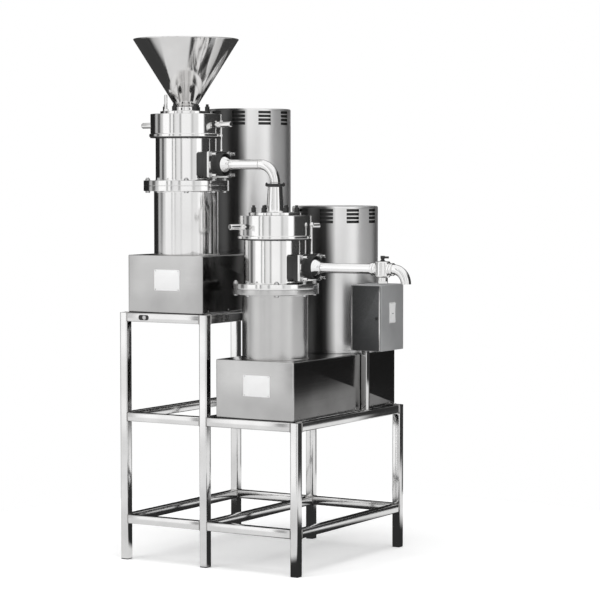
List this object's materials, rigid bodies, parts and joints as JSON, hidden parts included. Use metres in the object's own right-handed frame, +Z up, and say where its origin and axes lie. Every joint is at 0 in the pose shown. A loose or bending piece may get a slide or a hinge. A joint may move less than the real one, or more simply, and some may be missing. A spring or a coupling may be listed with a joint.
{
  "type": "two-stage vertical grinding mill set",
  "caption": "Vertical grinding mills in series on a stepped tube stand, with belt cases, motor drums, feed funnel, transfer pipe and discharge valve.",
  "frame": {"origin": "middle of the assembly's box, on the floor", "axes": "+X along the line from the feed to the discharge, +Y from the front to the motors, +Z up"},
  "size_m": [1.4224, 1.0262, 2.3749],
  "materials": {
    "polished_stainless": "polished stainless steel, near mirror",
    "satin_stainless": "satin stainless sheet",
    "stand_stainless": "polished stainless square tube",
    "machined_steel": "turned and ground steel",
    "cast_iron": "machined on the rim",
    "belt_rubber": "matte",
    "grey_enamel": "semi-matte grey enamel",
    "white_plastic": "plain white",
    "black_steel": "blackened steel"
  },
  "bodies": {
    "frame": {"control_box": "grey_enamel", "discharge_elbow": "polished_stainless", "discharge_pipe": "polished_stainless", "left_bay_low_front_rail": "stand_stainless", "left_bay_low_rear_rail": "stand_stainless", "left_bay_middle_front_rail": "stand_stainless", "left_bay_middle_rear_rail": "stand_stainless", "left_bay_top_front_rail": "stand_stainless", "left_bay_top_rear_rail": "stand_stainless", "left_side_frame": "stand_stainless", "lower_bearing_cartridge": "machined_steel", "lower_bearing_housing": "polished_stainless", "lower_belt_case": "satin_stainless", "lower_case_floor": "satin_stainless", "lower_drive_belt": "belt_rubber", "lower_grinding_chamber": "polished_stainless", "lower_motor": "grey_enamel", "lower_motor_drum": "satin_stainless", "middle_side_frame": "stand_stainless", "right_bay_low_front_rail": "stand_stainless", "right_bay_low_rear_rail": "stand_stainless", "right_bay_middle_front_rail": "stand_stainless", "right_bay_middle_rear_rail": "stand_stainless", "right_side_frame": "stand_stainless", "transfer_pipe": "polished_stainless", "upper_bearing_cartridge": "machined_steel", "upper_bearing_housing": "polished_stainless", "upper_belt_case": "satin_stainless", "upper_case_floor": "satin_stainless", "upper_drive_belt": "belt_rubber", "upper_grinding_chamber": "polished_stainless", "upper_motor": "grey_enamel", "upper_motor_drum": "satin_stainless", "valve_body": "polished_stainless"},
    "upper_motor_shaft": {"upper_motor_rotor": "machined_steel", "upper_motor_pulley": "cast_iron"},
    "upper_mill_shaft": {"upper_main_shaft": "machined_steel", "upper_rotor": "machined_steel", "upper_mill_pulley": "cast_iron"},
    "upper_stator_set": {"upper_stator": "machined_steel", "upper_inlet_cap": "polished_stainless", "feed_funnel": "polished_stainless"},
    "upper_ring": {"upper_adjusting_ring": "polished_stainless", "upper_ring_handle_1": "polished_stainless", "upper_ring_handle_2": "polished_stainless"},
    "upper_lock": {"upper_ring_lock": "machined_steel"},
    "lower_motor_shaft": {"lower_motor_rotor": "machined_steel", "lower_motor_pulley": "cast_iron"},
    "lower_mill_shaft": {"lower_main_shaft": "machined_steel", "lower_rotor": "machined_steel", "lower_mill_pulley": "cast_iron"},
    "lower_stator_set": {"lower_stator": "machined_steel", "lower_inlet_cap": "polished_stainless", "pipe_union_ring": "polished_stainless"},
    "lower_ring": {"lower_adjusting_ring": "polished_stainless", "lower_ring_handle_1": "polished_stainless", "lower_ring_handle_2": "polished_stainless"},
    "lower_lock": {"lower_ring_lock": "machined_steel"},
    "plug": {"valve_plug": "black_steel"},
    "switch": {"control_switch": "white_plastic"}
  },
  "joints": [
    {"name": "upper_motor_spin", "type": "hinge", "parent": "frame", "child": "upper_motor_shaft", "pos_m": [-0.44939, 0.27275, 1.5953], "axis": [0, 0, 1], "continuous": true},
    {"name": "upper_grinder_spin", "type": "hinge", "parent": "frame", "child": "upper_mill_shaft", "pos_m": [-0.44939, -0.25925, 1.5953], "axis": [0, 0, 1], "continuous": true},
    {"name": "upper_stator_lift", "type": "slide", "parent": "frame", "child": "upper_stator_set", "axis": [0, 0, 1], "range_m": [-0.00151, 0]},
    {"name": "upper_ring_turn", "type": "hinge", "parent": "upper_stator_set", "child": "upper_ring", "pos_m": [-0.44939, -0.25925, 1.9853], "axis": [0, 0, 1], "range_deg": [-90, 0]},
    {"name": "upper_lock_turn", "type": "hinge", "parent": "frame", "child": "upper_lock", "pos_m": [-0.27109, -0.23925, 1.9453], "axis": [0, 0, 1], "range_deg": [0, 180]},
    {"name": "lower_motor_spin", "type": "hinge", "parent": "frame", "child": "lower_motor_shaft", "pos_m": [0.02661, 0.27275, 1.1393], "axis": [0, 0, 1], "continuous": true},
    {"name": "lower_grinder_spin", "type": "hinge", "parent": "frame", "child": "lower_mill_shaft", "pos_m": [0.02661, -0.25925, 1.1393], "axis": [0, 0, 1], "continuous": true},
    {"name": "lower_stator_lift", "type": "slide", "parent": "frame", "child": "lower_stator_set", "axis": [0, 0, 1], "range_m": [-0.00084, 0.00101]},
    {"name": "lower_ring_turn", "type": "hinge", "parent": "lower_stator_set", "child": "lower_ring", "pos_m": [0.02661, -0.25925, 1.5293], "axis": [0, 0, 1], "range_deg": [-50, 60]},
    {"name": "lower_lock_turn", "type": "hinge", "parent": "frame", "child": "lower_lock", "pos_m": [0.20491, -0.23925, 1.4893], "axis": [0, 0, 1], "range_deg": [0, 180]},
    {"name": "valve_turn", "type": "hinge", "parent": "frame", "child": "plug", "pos_m": [0.57461, -0.25925, 1.3493], "axis": [0, 0, 1], "range_deg": [0, 90]},
    {"name": "switch_rock", "type": "hinge", "parent": "frame", "child": "switch", "pos_m": [0.38361, 0.17375, 1.132], "axis": [0, 1, 0], "range_deg": [-8, 8]}
  ],
  "couplings": [
    {"joint": "upper_grinder_spin", "follows": "upper_motor_spin", "ratio": 1.2},
    {"joint": "upper_stator_lift", "follows": "upper_ring_turn", "m_per_rad": 0.00095493},
    {"joint": "lower_grinder_spin", "follows": "lower_motor_spin", "ratio": 1.2},
    {"joint": "lower_stator_lift", "follows": "lower_ring_turn", "m_per_rad": 0.00095493}
  ]
}
